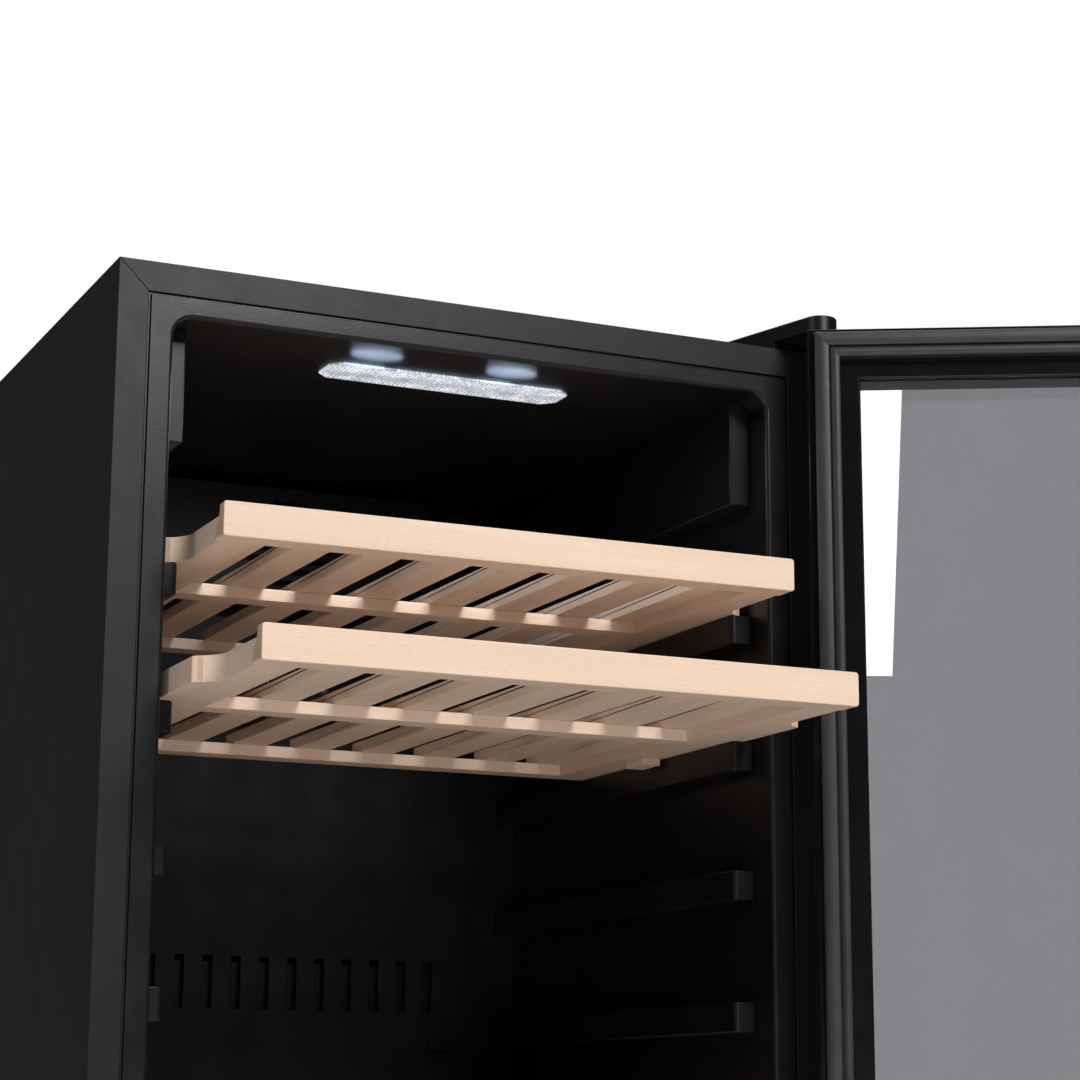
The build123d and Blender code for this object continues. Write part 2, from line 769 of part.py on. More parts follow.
def handle_posts():
    x = DOOR_LEFT + 34
    y = DOOR_OUTER - HANDLE_OFF
    low = HANDLE_MIDDLE - HANDLE_LENGTH / 2 + 30
    high = HANDLE_MIDDLE + HANDLE_LENGTH / 2 - 30
    bar = rod(x, y, low - 60, high + 60, HANDLE_RADIUS)
    return group(*[lying(x, y, DOOR_OUTER, z, 5.0) - bar for z in (low, high)])


def touch_panel():
    """Touch controls on the outer pane, near its top."""
    return block(-60, 60, DOOR_OUTER - 1.2, DOOR_OUTER, DOOR_TOP - 62, DOOR_TOP - 34)


# ---------------------------------------------------------------- shelves


def board_section(reach):
    """The front board's section, square in front and sloping behind, drawn along X."""
    outline = Polyline(
        (-reach, 0, 0),
        (-reach, BOARD_DEEP, 0),
        (-reach, BOARD_TOP_DEEP, BOARD_SLOPE_TOP),
        (-reach, BOARD_TOP_DEEP, BOARD_HIGH),
        (-reach, 0, BOARD_HIGH),
        close=True,
    )
    return extrude(make_face(outline), 2 * reach, dir=(1, 0, 0))


def shelf_board():
    """Front board with rounded corners and eased front edges."""
    board = board_section(BOARD_X)
    board = fillet(board.edges().filter_by(Axis.Y), BOARD_CORNER)
    return fillet(board.edges().group_by(Axis.Y)[0], BOARD_EDGE)


def shelf_rail():
    """Right-hand rail: set in at the front, then curving out to its full width."""
    outline = [
        Line((RAIL_INNER, BOARD_TOP_DEEP), (RAIL_NARROW, BOARD_TOP_DEEP)),
        Line((RAIL_NARROW, BOARD_TOP_DEEP), (RAIL_NARROW, SCOOP_START)),
        ThreePointArc(
            (RAIL_NARROW, SCOOP_START),
            (RAIL_NARROW + 4.0, SCOOP_END - 8.0),
            (RAIL_WIDE - 3.0, SCOOP_END),
        ),
        Line((RAIL_WIDE - 3.0, SCOOP_END), (RAIL_WIDE, SCOOP_END + 3)),
        Line((RAIL_WIDE, SCOOP_END + 3), (RAIL_WIDE, SHELF_DEEP)),
        Line((RAIL_WIDE, SHELF_DEEP), (RAIL_INNER, SHELF_DEEP)),
        Line((RAIL_INNER, SHELF_DEEP), (RAIL_INNER, BOARD_TOP_DEEP)),
    ]
    return extrude(make_face(Curve() + outline), RAIL_HIGH, dir=(0, 0, 1))


def rail_stop():
    """Small block under the rail, inside the runner."""
    return block(198, 214, 296, 326, -STOP_HIGH, 0)


def cross_bars():
    """Bars under the slats, let into the undersides of both rails."""
    return [
        block(-RAIL_NARROW, RAIL_NARROW, y, y + BAR_DEEP, 0, BAR_HIGH) for y in BAR_FRONTS
    ]


def slats():
    """Six bottle slats, and a narrow one against each rail."""
    first = -(SLAT_COUNT - 1) * SLAT_PITCH / 2
    spans = [
        (first + n * SLAT_PITCH - SLAT_WIDE / 2, first + n * SLAT_PITCH + SLAT_WIDE / 2)
        for n in range(SLAT_COUNT)
    ]
    spans.append((-RAIL_INNER, -RAIL_INNER + END_SLAT_WIDE))
    spans.append((RAIL_INNER - END_SLAT_WIDE, RAIL_INNER))
    board = board_section(BOARD_X)
    return [
        block(x0, x1, BOARD_TOP_DEEP, SHELF_DEEP, BAR_HIGH, RAIL_HIGH) - board
        for x0, x1 in spans
    ]


def shelf_rack():
    """Rails, stop blocks, cross bars and slats, as separate solids."""
    bars = cross_bars()
    rail = shelf_rail() - board_section(BOARD_X) - bars[0] - bars[1]
    stop = rail_stop()
    return group(rail, mirrored(rail), stop, mirrored(stop), *bars, *slats())


def shelf_nodes(number):
    """One shelf's two nodes, at its level and pulled out by its own distance."""
    level, out = SHELVES[number]
    place = Pos(0, FRONT - out, LEVEL_1 - (level - 1) * PITCH)
    return {
        f"shelf_{number}_front_board": place * shelf_board(),
        f"shelf_{number}_rack": place * shelf_rack(),
    }


# ---------------------------------------------------------------- assembly


def cabinet_nodes():
    side = side_panel()
    right_runners = runners()
    return {
        "left_side_panel": side,
        "right_side_panel": mirrored(side),
        "top_panel": top_panel(),
        "back_panel": back_panel(),
        "rear_grille": rear_grille(),
        "base_plate": base_plate(),
        "compartment_panel": compartment_panel(),
        "front_sill": front_sill(),
        "kick_plate": kick_plate(),
        "inner_liner": inner_liner(cavity()),
        "insulation": insulation(),
        "shelf_runners": group(*right_runners, *[mirrored(r) for r in right_runners]),
        "rear_feet": rear_feet(),
        "front_foot_left": front_foot(-FOOT_X),
        "front_foot_right": front_foot(FOOT_X),
    }


def cold_air_nodes():
    fan = Pos(0, DUCT_FRONT + 19, FAN_Z)
    return {
        "lamp_housing": lamp_housing(),
        "lamp_diffuser": lamp_diffuser(),
        "led_board": led_board(),
        "fan_duct": fan_duct(),
        "air_fan_frame": fan * fan_frame(FAN_RADIUS, FAN_DEEP),
        "air_fan_rotor": fan * fan_rotor(FAN_RADIUS, FAN_DEEP, 7),
        "rear_cover": rear_cover(),
        "evaporator": evaporator(),
        "charcoal_filter": charcoal_filter(),
        "temperature_sensor": temperature_sensor(),
    }


def machine_nodes():
    fan = Pos(35, 155, 110) * Rot(0, 0, 90)
    return {
        "compressor": compressor(),
        "compressor_mounts": compressor_mounts(),
        "condenser": condenser(),
        "condenser_fan_frame": fan * fan_frame(CONDENSER_FAN_RADIUS, CONDENSER_FAN_DEEP),
        "condenser_fan_rotor": fan * fan_rotor(CONDENSER_FAN_RADIUS, CONDENSER_FAN_DEEP, 5),
        "drain_tray": drain_tray(),
        "drain_pipe": drain_pipe(),
        "control_box": control_box(),
        "control_board": control_board(),
        "power_inlet": power_inlet(),
    }


def hinge_nodes():
    return {
        "top_hinge_bracket": top_bracket(),
        "top_hinge_cover": top_cover(),
        "hinge_pins": group(
            hinge_pin(DOOR_TOP - PIN_DEPTH, ARM_TOP),
            hinge_pin(DOOR_BOTTOM - 7, DOOR_BOTTOM + PIN_DEPTH),
        ),
        "bottom_hinge_bracket": bottom_bracket(),
        "hinge_screws": hinge_screws(),
    }


def door_nodes():
    bushes = group(
        hinge_bush(DOOR_BOTTOM, DOOR_BOTTOM + BUSH_LENGTH),
        hinge_bush(DOOR_TOP - BUSH_LENGTH, DOOR_TOP),
    )
    closed = {
        "door_frame": door_frame(),
        "hinge_bushes": bushes,
        "outer_glass": outer_glass(),
        "inner_glass": inner_glass(),
        "glass_spacer": glass_spacer(),
        "door_gasket": door_gasket(),
        "door_handle": handle(),
        "handle_posts": handle_posts(),
        "touch_panel": touch_panel(),
    }
    return {name: opened(shape) for name, shape in closed.items()}


nodes = {**cabinet_nodes(), **cold_air_nodes(), **machine_nodes(), **hinge_nodes(), **door_nodes()}
for shelf in SHELVES:
    nodes.update(shelf_nodes(shelf))

os.makedirs("parts", exist_ok=True)
for name, shape in nodes.items():
    export_step(shape, f"parts/{name}.step")
print(len(nodes), "nodes")
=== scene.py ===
"""Looks of the wine cooler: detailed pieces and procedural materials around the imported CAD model.

Metres. +X is to the right seen from the front, +Y to the rear, +Z up, origin on the floor.
"""
import json
import math
import random

import bmesh
import bpy
from mathutils import Matrix, Vector

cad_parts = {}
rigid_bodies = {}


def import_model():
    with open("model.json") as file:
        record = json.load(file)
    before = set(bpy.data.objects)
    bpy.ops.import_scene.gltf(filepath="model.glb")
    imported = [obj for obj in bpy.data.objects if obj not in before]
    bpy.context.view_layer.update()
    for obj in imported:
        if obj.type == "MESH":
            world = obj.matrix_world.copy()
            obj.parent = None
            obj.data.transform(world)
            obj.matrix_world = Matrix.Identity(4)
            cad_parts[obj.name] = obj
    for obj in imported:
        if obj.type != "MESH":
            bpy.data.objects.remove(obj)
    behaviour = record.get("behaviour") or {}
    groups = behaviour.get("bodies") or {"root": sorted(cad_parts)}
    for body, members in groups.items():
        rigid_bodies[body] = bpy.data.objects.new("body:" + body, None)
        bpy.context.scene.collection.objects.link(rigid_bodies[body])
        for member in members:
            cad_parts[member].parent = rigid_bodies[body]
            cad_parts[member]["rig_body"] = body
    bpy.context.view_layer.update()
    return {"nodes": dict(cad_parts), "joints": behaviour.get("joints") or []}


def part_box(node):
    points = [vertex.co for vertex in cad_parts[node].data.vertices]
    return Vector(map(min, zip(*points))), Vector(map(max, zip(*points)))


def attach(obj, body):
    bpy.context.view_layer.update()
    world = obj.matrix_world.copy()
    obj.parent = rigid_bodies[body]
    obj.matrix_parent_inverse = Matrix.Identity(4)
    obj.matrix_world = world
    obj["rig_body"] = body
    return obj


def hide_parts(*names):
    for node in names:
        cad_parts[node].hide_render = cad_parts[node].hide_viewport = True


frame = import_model()
MM = 0.001
CHANCE = random.Random(7)
SLOTS = {name: node.material_slots[0].material.name for name, node in frame["nodes"].items()}
for packed in list(bpy.data.materials):
    bpy.data.materials.remove(packed)

# ---- camera, at the photograph's viewing angle ----
CAMERA_PLACE = Vector((-0.7377, -1.9809, 0.6857))
CAMERA_YAW = math.radians(24.52)
CAMERA_PITCH = math.radians(12.39)
CAMERA_ROLL = math.radians(0.29)
CAMERA_SENSOR = 36  # mm
CAMERA_LENS = 88.72  # mm

# ---- lights: name, place, point aimed at, width and height, watts ----
STUDIO_LIGHTS = (
    ("key", (0.45, -3.1, 2.9), (0, -0.3, 1.1), (1.3, 1.2), 104),
    ("low_fill", (-0.7, -2.6, 0.25), (0, -0.3, 1.0), (1.4, 0.4), 9),
    ("side_fill", (-3.4, -0.8, 3.0), (-0.275, 0, 1.1), (1.6, 1.0), 22),
    ("rear_fill", (1.4, 3.2, 2.4), (0, 0.2, 0.8), (2.0, 1.6), 55),
    ("top_fill", (0.2, 0.4, 3.2), (0, 0, 1.2), (2.0, 2.0), 30),
)
WORLD_LIGHT = 0.075  # on surfaces; it is 1 where seen
LAMP_POWER = 0.35
LAMP_COLOUR = (0.78, 0.88, 1.0)
LEAK_X = (-68 * MM, 40 * MM)
LEAK_FORWARD = 14.5 * MM  # in front of the lamp's cover
LEAK_DROP = 5 * MM
LEAK_SIZE = (40 * MM, 26 * MM)
LEAK_POWER = 0.013
LEAK_COLOUR = (0.60, 0.76, 1.0)

# ---- cabinet and its ceiling lamp ----
MOUTH_RADIUS = 3 * MM  # where the liner's flange turns into the cold space
LENS_PITCH = 3.4 * MM
LENS_DEPTH = 0.7 * MM
LAMP_CHAMFER = 9 * MM
LAMP_STEP = 0.75 * MM  # spacing of the cover's mesh
LATCH_X = 51.5 * MM
LATCH_NOTCH = (5.5 * MM, 2.8 * MM)  # half width and depth
BOARD_THICK = 1.2 * MM
DIODE_HALF = 2 * MM
DIODE_PITCH = 14  # mm
DIODE_END = 77  # mm

# ---- door ----
DOOR_JOINT = next(j for j in frame["joints"] if j["name"] == "door_hinge")
DOOR_TURN = -math.radians(DOOR_JOINT["range_deg"][0])
LIP_EDGE = 39.3 * MM
PANE_EDGE = 27 * MM
PANE_BEHIND = 3 * MM
MITRE_GAP = 0.25 * MM
BUSH_RADIUS = 7 * MM
BUSH_REACH = 24 * MM
GASKET_EDGE = 5 * MM
GASKET_WIDE = 19 * MM
GASKET_BAND = 10.8 * MM  # the magnetic band, then a groove, then the bellows
BELLOWS_START = 12 * MM
BELLOWS_END = 18.9 * MM
WELD_HALF = 0.28 * MM
SPACER_WIDE = 8 * MM
HOLE_LINE = 3 * MM  # the spacer's row of holes behind the inner pane
HOLE_PITCH = 3.2 * MM
HOLE_REACH = 2 * MM  # from a hole's middle; its rim lies between the two shares of this
HOLE_RIM = (0.28, 0.5)

# ---- shelves, each measured from its own front, middle and underside ----
SHELF_COUNT = 5
SHELF_DEEP = 450 * MM
BOARD_DEEP = 20 * MM
BOARD_TOP_DEEP = 9 * MM
BOARD_SLOPE_TOP = 18 * MM
RAIL_INNER = 188 * MM
RAIL_NARROW = 213 * MM
RAIL_WIDE = 229 * MM
RAIL_HIGH = 18 * MM
SCOOP_START = 80 * MM
SCOOP_END = 103 * MM
BAR_DEEP = 22 * MM
BAR_HIGH = 9 * MM
BAR_DROP = 0.15 * MM  # below the rails' underside
BAR_FRONTS = (202 * MM, SHELF_DEEP - BAR_DEEP)
SLAT_WIDE = 28 * MM
SLAT_PITCH = 53.5 * MM
SLAT_COUNT = 6
END_SLAT_WIDE = 21 * MM
STOP_BLOCK = ((198 * MM, 296 * MM, -6 * MM), (214 * MM, 326 * MM, 0.0))
WOOD_EASE = 0.9 * MM


# ------------------------------------------------------------ material helper


class Shader:
    """A procedural material being built, with short calls for its nodes."""

    def __init__(self, name):
        self.material = bpy.data.materials.new(name)
        self.material.use_nodes = True
        self.tree = self.material.node_tree
        self.surface = self.tree.nodes["Principled BSDF"]
        self.place = self.tree.nodes.new("ShaderNodeTexCoord").outputs["Object"]

    def node(self, kind):
        return self.tree.nodes.new("ShaderNode" + kind)

    def link(self, output, socket):
        self.tree.links.new(output, socket)

    def constant(self, **values):
        """Sets sockets that are the same all over; names use _ for a space."""
        for name, value in values.items():
            self.surface.inputs[name.replace("_", " ")].default_value = value
        return self

    def attribute(self, name, output):
        found = self.node("Attribute")
        found.attribute_name = name
        return found.outputs[output]

    def stretched(self, scale, place):
        """Coordinates scaled along each axis."""
        mapping = self.node("Mapping")
        mapping.inputs["Scale"].default_value = scale
        self.link(place, mapping.inputs["Vector"])
        return mapping.outputs["Vector"]

    def noise(self, scale, detail=3.0, stretch=None, place=None):
        """Noise from 0 to 1 with that many features in a metre."""
        noise = self.node("TexNoise")
        noise.inputs["Scale"].default_value = scale
        noise.inputs["Detail"].default_value = detail
        where = place or self.place
        if stretch:
            where = self.stretched(stretch, where)
        self.link(where, noise.inputs["Vector"])
        return noise.outputs["Fac"]

    def cells(self, scale, randomness=1.0):
        """Distance from the nearest cell's middle."""
        cells = self.node("TexVoronoi")
        cells.inputs["Scale"].default_value = scale
        cells.inputs["Randomness"].default_value = randomness
        self.link(self.place, cells.inputs["Vector"])
        return cells.outputs["Distance"]

    def ramp(self, value, *stops):
        """Colours, or greys given as numbers, between positions of a value."""
        ramp = self.node("ValToRGB")
        while len(ramp.color_ramp.elements) < len(stops):
            ramp.color_ramp.elements.new(0.5)
        for element, (position, colour) in zip(ramp.color_ramp.elements, stops):
            if isinstance(colour, (int, float)):
                colour = (colour, colour, colour)
            element.position = position
            element.color = (*colour, 1.0)
        self.link(value, ramp.inputs["Fac"])
        return ramp.outputs["Color"]

    def mix(self, share, first, second, blend="MIX"):
        """first where share is 0, second where it is 1."""
        mix = self.node("Mix")
        mix.data_type = "RGBA"
        mix.blend_type = blend
        for value, socket in ((share, 0), (first, 6), (second, 7)):
            if isinstance(value, bpy.types.NodeSocket):
                self.link(value, mix.inputs[socket])
            elif socket:
                mix.inputs[socket].default_value = (*value, 1.0)
            else:
                mix.inputs[socket].default_value = value
        return mix.outputs[2]

    def between(self, value, low, high, lowest=0.0, highest=1.0):
        """A value's span lowest to highest moved to low to high."""
        span = self.node("MapRange")
        for name, number in (
            ("From Min", lowest), ("From Max", highest), ("To Min", low), ("To Max", high)
        ):
            span.inputs[name].default_value = number
        self.link(value, span.inputs["Value"])
        return span.outputs["Result"]

    def colour(self, output):
        self.link(output, self.surface.inputs["Base Color"])
        return self

    def roughness(self, output, low, high):
        self.link(self.between(output, low, high, 0.3, 0.7), self.surface.inputs["Roughness"])
        return self

    def bump(self, height, distance, strength=1.0):
        """Adds relief of that depth in metres on top of any relief so far."""
        bump = self.node("Bump")
        bump.inputs["Distance"].default_value = distance
        bump.inputs["Strength"].default_value = strength
        normal = self.surface.inputs["Normal"]
        if normal.is_linked:
            self.link(normal.links[0].from_socket, bump.inputs["Normal"])
        self.link(height, bump.inputs["Height"])
        self.link(bump.outputs["Normal"], normal)
        return self


# ------------------------------------------------------------------ materials


def plastic(name, dark, light, roughness, grain=700, relief=0.05 * MM):
    """Moulded plastic: a faint cloudiness in its colour and gloss over a fine grain."""
    s = Shader(name)
    cloud = s.noise(9, detail=4)
    s.colour(s.ramp(cloud, (0.35, dark), (0.65, light)))
    s.roughness(s.noise(35, detail=5), *roughness)
    s.bump(s.noise(grain, detail=2), relief)
    return s.constant(Specular_IOR_Level=0.30)


def black_paint():
    """Satin powder coat: near-black with a fine orange peel and a few dust specks."""
    s = Shader("black_paint")
    cloud = s.noise(6, detail=4)
    body = s.ramp(cloud, (0.35, (0.0070, 0.0070, 0.0078)), (0.65, (0.0100, 0.0100, 0.0110)))
    speck = s.ramp(s.cells(260), (0.02, 1.0), (0.05, 0.0))
    s.colour(s.mix(speck, body, (0.05, 0.05, 0.052)))
    s.roughness(s.noise(40, detail=5), 0.40, 0.47)
    s.bump(s.noise(650, detail=2), 0.06 * MM)
    s.bump(s.noise(90, detail=1), 0.10 * MM, 0.5)
    return s.constant(Specular_IOR_Level=0.26)


def galvanised_sheet():
    """Zinc-coated steel with its faint crystal spangle."""
    s = Shader("galvanised_sheet")
    spangle = s.node("TexVoronoi")
    spangle.inputs["Scale"].default_value = 240
    s.link(s.place, spangle.inputs["Vector"])
    shade = s.node("RGBToBW")
    s.link(spangle.outputs["Color"], shade.inputs["Color"])
    s.colour(s.ramp(shade.outputs["Val"], (0.2, (0.47, 0.48, 0.50)), (0.8, (0.55, 0.56, 0.58))))
    s.roughness(shade.outputs["Val"], 0.32, 0.48)
    s.bump(s.noise(400, detail=2), 0.04 * MM)
    return s.constant(Metallic=1.0)


def foam():
    """Yellowish polyurethane foam with open cells."""
    s = Shader("foam")
    s.colour(s.ramp(s.noise(60), (0.3, (0.62, 0.50, 0.26)), (0.7, (0.74, 0.63, 0.38))))
    s.roughness(s.noise(90), 0.8, 0.95)
    return s.bump(s.cells(500), 0.3 * MM)


def lamp_clear():
    """Prismatic cover, lit from behind: bright in the middle of each small lens."""
    s = Shader("lamp_clear")
    lens = s.cells(330, randomness=0.25)
    patch = s.noise(70, detail=2)
    glow = s.mix(
        0.85,
        s.ramp(lens, (0.10, 1.0), (0.50, 0.20)),
        s.ramp(patch, (0.38, 0.50), (0.62, 1.0)),
        "MULTIPLY",
    )
    tint = s.mix(1.0, glow, (0.86, 0.93, 1.0), "MULTIPLY")
    s.link(tint, s.surface.inputs["Emission Color"])
    s.colour(s.ramp(lens, (0.1, (0.72, 0.80, 0.90)), (0.6, (0.42, 0.50, 0.62))))
    s.roughness(patch, 0.12, 0.22)
    s.bump(lens, 0.25 * MM)
    return s.constant(Emission_Strength=1.25, IOR=1.49)


def diode_light():
    """Yellow-white face of a light-emitting diode."""
    s = Shader("diode_light")
    spot = s.cells(200, randomness=0.0)
    s.link(
        s.ramp(spot, (0.1, (0.86, 0.93, 1.0)), (0.8, (0.55, 0.68, 0.95))),
        s.surface.inputs["Emission Color"],
    )
    s.colour(s.ramp(spot, (0.2, (0.9, 0.88, 0.6)), (0.8, (0.8, 0.74, 0.4))))
    s.roughness(s.noise(300), 0.3, 0.4)
    return s.constant(Emission_Strength=4.0)


def circuit_board():
    """Green laminate with tracks under the solder mask."""
    s = Shader("circuit_board")
    tracks = s.node("TexBrick")
    tracks.inputs["Scale"].default_value = 120
    tracks.inputs["Color1"].default_value = (0.012, 0.10, 0.045, 1)
    tracks.inputs["Color2"].default_value = (0.016, 0.12, 0.05, 1)
    tracks.inputs["Mortar"].default_value = (0.06, 0.22, 0.10, 1)
    s.link(s.place, tracks.inputs["Vector"])
    s.colour(tracks.outputs["Color"])
    s.roughness(s.noise(120), 0.3, 0.4)
    return s.bump(tracks.outputs["Fac"], 0.05 * MM)


def steel(name, dark, light, roughness, stretch):
    """Bare metal with fine drawn lines along its long side."""
    s = Shader(name)
    lines = s.noise(1.0, detail=3, stretch=stretch)
    s.colour(s.ramp(lines, (0.3, dark), (0.7, light)))
    s.roughness(lines, *roughness)
    s.bump(lines, 0.02 * MM)
    return s.constant(Metallic=1.0)


def rubber(name, dark, light, roughness):
    """Soft black rubber with a bloom of paler dust."""
    s = Shader(name)
    bloom = s.noise(45, detail=5)
    s.colour(s.ramp(bloom, (0.35, dark), (0.7, light)))
    s.roughness(s.noise(120, detail=4), *roughness)
    s.bump(s.noise(1100, detail=2), 0.04 * MM)
    return s.constant(Specular_IOR_Level=0.45)


def glass(name, tint, edge_tint):
    """Float glass, its tint a little uneven, with faint smears on its faces."""
    s = Shader(name)
    smear = s.noise(14, detail=5, stretch=(1, 1, 0.4))
    s.colour(s.ramp(smear, (0.2, tint), (0.9, edge_tint)))
    s.link(s.between(smear, 0.0, 0.012, 0.5, 0.9), s.surface.inputs["Roughness"])
    return s.constant(Transmission_Weight=1.0, IOR=1.5, Specular_IOR_Level=0.5)


def panel_glass():
    """Glossy black touch panel."""
    s = Shader("panel_glass")
    s.colour(s.ramp(s.noise(20), (0.3, (0.004, 0.004, 0.005)), (0.7, (0.008, 0.008, 0.010))))
    s.roughness(s.noise(60), 0.04, 0.09)
    return s.constant(Coat_Weight=0.6, Coat_Roughness=0.03)


def spacer_metal():
    """Black spacer bar between the panes with its row of breathing holes."""
    s = Shader("spacer_metal")
    along = s.attribute("along", "Fac")
    split = s.node("Math")
    split.operation = "PINGPONG"
    split.inputs[1].default_value = HOLE_PITCH / 2
    s.link(along, split.inputs[0])
    across = s.attribute("across", "Fac")
    reach = s.node("CombineXYZ")
    s.link(split.outputs[0], reach.inputs["X"])
    s.link(across, reach.inputs["Y"])
    length = s.node("VectorMath")
    length.operation = "LENGTH"
    s.link(reach.outputs[0], length.inputs[0])
    share = s.between(length.outputs["Value"], 0.0, 1.0, 0.0, HOLE_REACH)
    hole = s.ramp(share, (HOLE_RIM[0], 1.0), (HOLE_RIM[1], 0.0))
    body = s.ramp(s.noise(200), (0.3, (0.0045, 0.0045, 0.0050)), (0.7, (0.0065, 0.0065, 0.0070)))
    s.colour(s.mix(hole, body, (0.28, 0.28, 0.29)))
    s.roughness(s.noise(300), 0.5, 0.6)
    return s.bump(hole, 0.2 * MM).constant(Specular_IOR_Level=0.05)


def beech():
    """Steamed beech: pale peach with fine growth lines and short dark flecks along the grain."""
    s = Shader("beech")
    grain = s.attribute("grain", "Vector")
    tone = s.attribute("tone", "Fac")
    end = s.attribute("end_grain", "Fac")
    band = s.noise(1.0, detail=3, stretch=(2.5, 55, 55), place=grain)
    line = s.noise(1.0, detail=4, stretch=(9, 620, 620), place=grain)
    fleck = s.noise(1.0, detail=2, stretch=(230, 2100, 2100), place=grain)
    pore = s.noise(1.0, detail=2, stretch=(700, 5200, 5200), place=grain)
    wood = s.ramp(band, (0.32, (0.74, 0.555, 0.425)), (0.68, (0.80, 0.625, 0.495)))
    wood = s.mix(s.between(line, 0.0, 0.24, 0.45, 0.8), wood, (0.62, 0.41, 0.28))
    wood = s.mix(s.between(fleck, 0.0, 0.60, 0.635, 0.73), wood, (0.50, 0.30, 0.18))
    wood = s.mix(s.between(pore, 0.0, 0.16, 0.62, 0.76), wood, (0.50, 0.32, 0.21))
    wood = s.mix(s.between(tone, 0.0, 0.25), wood, (0.70, 0.49, 0.35))
    wood = s.mix(s.between(end, 0.0, 0.62), wood, (0.50, 0.31, 0.19))
    s.colour(wood)
    s.roughness(line, 0.50, 0.62)
    s.bump(line, 0.05 * MM, 0.7)
    s.bump(fleck, 0.06 * MM, 0.6)
    return s.constant(Specular_IOR_Level=0.35)


def floor_surface():
    """Pale matt studio floor."""
    s = Shader("studio_floor")
    s.colour(s.ramp(s.noise(2, detail=4), (0.3, (0.80, 0.80, 0.80)), (0.7, (0.84, 0.84, 0.84))))
    s.roughness(s.noise(8), 0.7, 0.85)
    return s.bump(s.noise(60), 0.2 * MM)


MATERIALS = {
    "black_paint": black_paint(),
    "galvanised_sheet": galvanised_sheet(),
    "liner_plastic": plastic(
        "liner_plastic", (0.0040, 0.0040, 0.0047), (0.0060, 0.0060, 0.0068), (0.30, 0.38)
    ),
    "foam": foam(),
    "lamp_plastic": plastic(
        "lamp_plastic", (0.50, 0.53, 0.57), (0.60, 0.63, 0.67), (0.35, 0.45)
    ),
    "lamp_clear": lamp_clear(),
    "circuit_board": circuit_board(),
    "fan_plastic": plastic("fan_plastic", (0.012, 0.012, 0.013), (0.018, 0.018, 0.02), (0.4, 0.5)),
    "compressor_paint": plastic(
        "compressor_paint", (0.010, 0.010, 0.011), (0.016, 0.016, 0.017), (0.18, 0.28), 150
    ),
    "rubber": rubber("rubber", (0.010, 0.010, 0.010), (0.020, 0.020, 0.021), (0.7, 0.85)),
    "bright_steel": steel(
        "bright_steel", (0.50, 0.50, 0.51), (0.62, 0.62, 0.63), (0.22, 0.32), (900, 900, 60)
    ),
    "door_plastic": plastic(
        "door_plastic", (0.0030, 0.0030, 0.0033), (0.0045, 0.0045, 0.0049), (0.15, 0.21)
    ),
    "tinted_glass": glass("tinted_glass", (0.195, 0.195, 0.21), (0.205, 0.205, 0.22)),
    "clear_glass": glass("clear_glass", (0.93, 0.945, 0.94), (0.95, 0.96, 0.955)),
    "spacer_metal": spacer_metal(),
    "gasket": rubber("gasket", (0.019, 0.019, 0.0215), (0.025, 0.025, 0.028), (0.40, 0.50)),
    "handle_metal": steel(
        "handle_metal", (0.55, 0.55, 0.56), (0.68, 0.68, 0.69), (0.24, 0.36), (2600, 2600, 12)
    ),
    "panel_glass": panel_glass(),
    "beech": beech(),
}
DIODE_LIGHT = diode_light().material
for name, node in frame["nodes"].items():
    node.material_slots[0].material = MATERIALS[SLOTS[name]].material


# --------------------------------------------------------------- mesh helpers


def as_piece(name, shape, slot, body, *nodes, smooth_angle=35):
    """Makes an object of a bmesh that rides on a body and stands for CAD nodes."""
    bmesh.ops.recalc_face_normals(shape, faces=shape.faces)
    mesh = bpy.data.meshes.new(name)
    shape.to_mesh(mesh)
    shape.free()
    mesh.materials.append(MATERIALS[slot].material)
    mesh.polygons.foreach_set("use_smooth", [True] * len(mesh.polygons))
    mesh.set_sharp_from_angle(angle=math.radians(smooth_angle))
    piece = bpy.data.objects.new(name, mesh)
    bpy.context.scene.collection.objects.link(piece)
    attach(piece, body)
    if nodes:
        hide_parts(*nodes)
    return piece


def weighted(piece):
    """Keeps large faces flat beside narrow rounded edges."""
    piece.modifiers.new("face_normals", "WEIGHTED_NORMAL").keep_sharp = True
    return piece


def cleaned(node):
    """A CAD node's shape as a bmesh with whole flat faces."""
    shape = bmesh.new()
    shape.from_mesh(frame["nodes"][node].data)
    for layers in (shape.loops.layers.float_vector, shape.loops.layers.uv):
        for layer in list(layers.values()):
            layers.remove(layer)
    bmesh.ops.remove_doubles(shape, verts=shape.verts, dist=2e-6)
    bmesh.ops.dissolve_limit(
        shape, angle_limit=math.radians(0.3), verts=shape.verts, edges=shape.edges
    )
    return shape


def eased(node, width, prepare=None):
    """Replaces a CAD node with the same shape, its sharp edges broken by a small radius."""
    shape = cleaned(node)
    if prepare:
        prepare(shape)
    body = frame["nodes"][node]["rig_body"]
    piece = as_piece(f"{node}_formed", shape, SLOTS[node], body, node, smooth_angle=60)
    bevel = piece.modifiers.new("edges", "BEVEL")
    bevel.width = width
    bevel.segments = 2
    bevel.limit_method = "ANGLE"
    bevel.angle_limit = math.radians(35)
    return weighted(piece)


def round_edges(shape, width):
    """Rounds every edge of a bmesh that turns by more than 30 degrees."""
    sharp = [e for e in shape.edges if e.calc_face_angle(0) > math.radians(30)]
    bmesh.ops.bevel(shape, geom=sharp, offset=width, segments=2, profile=0.5, affect="EDGES")


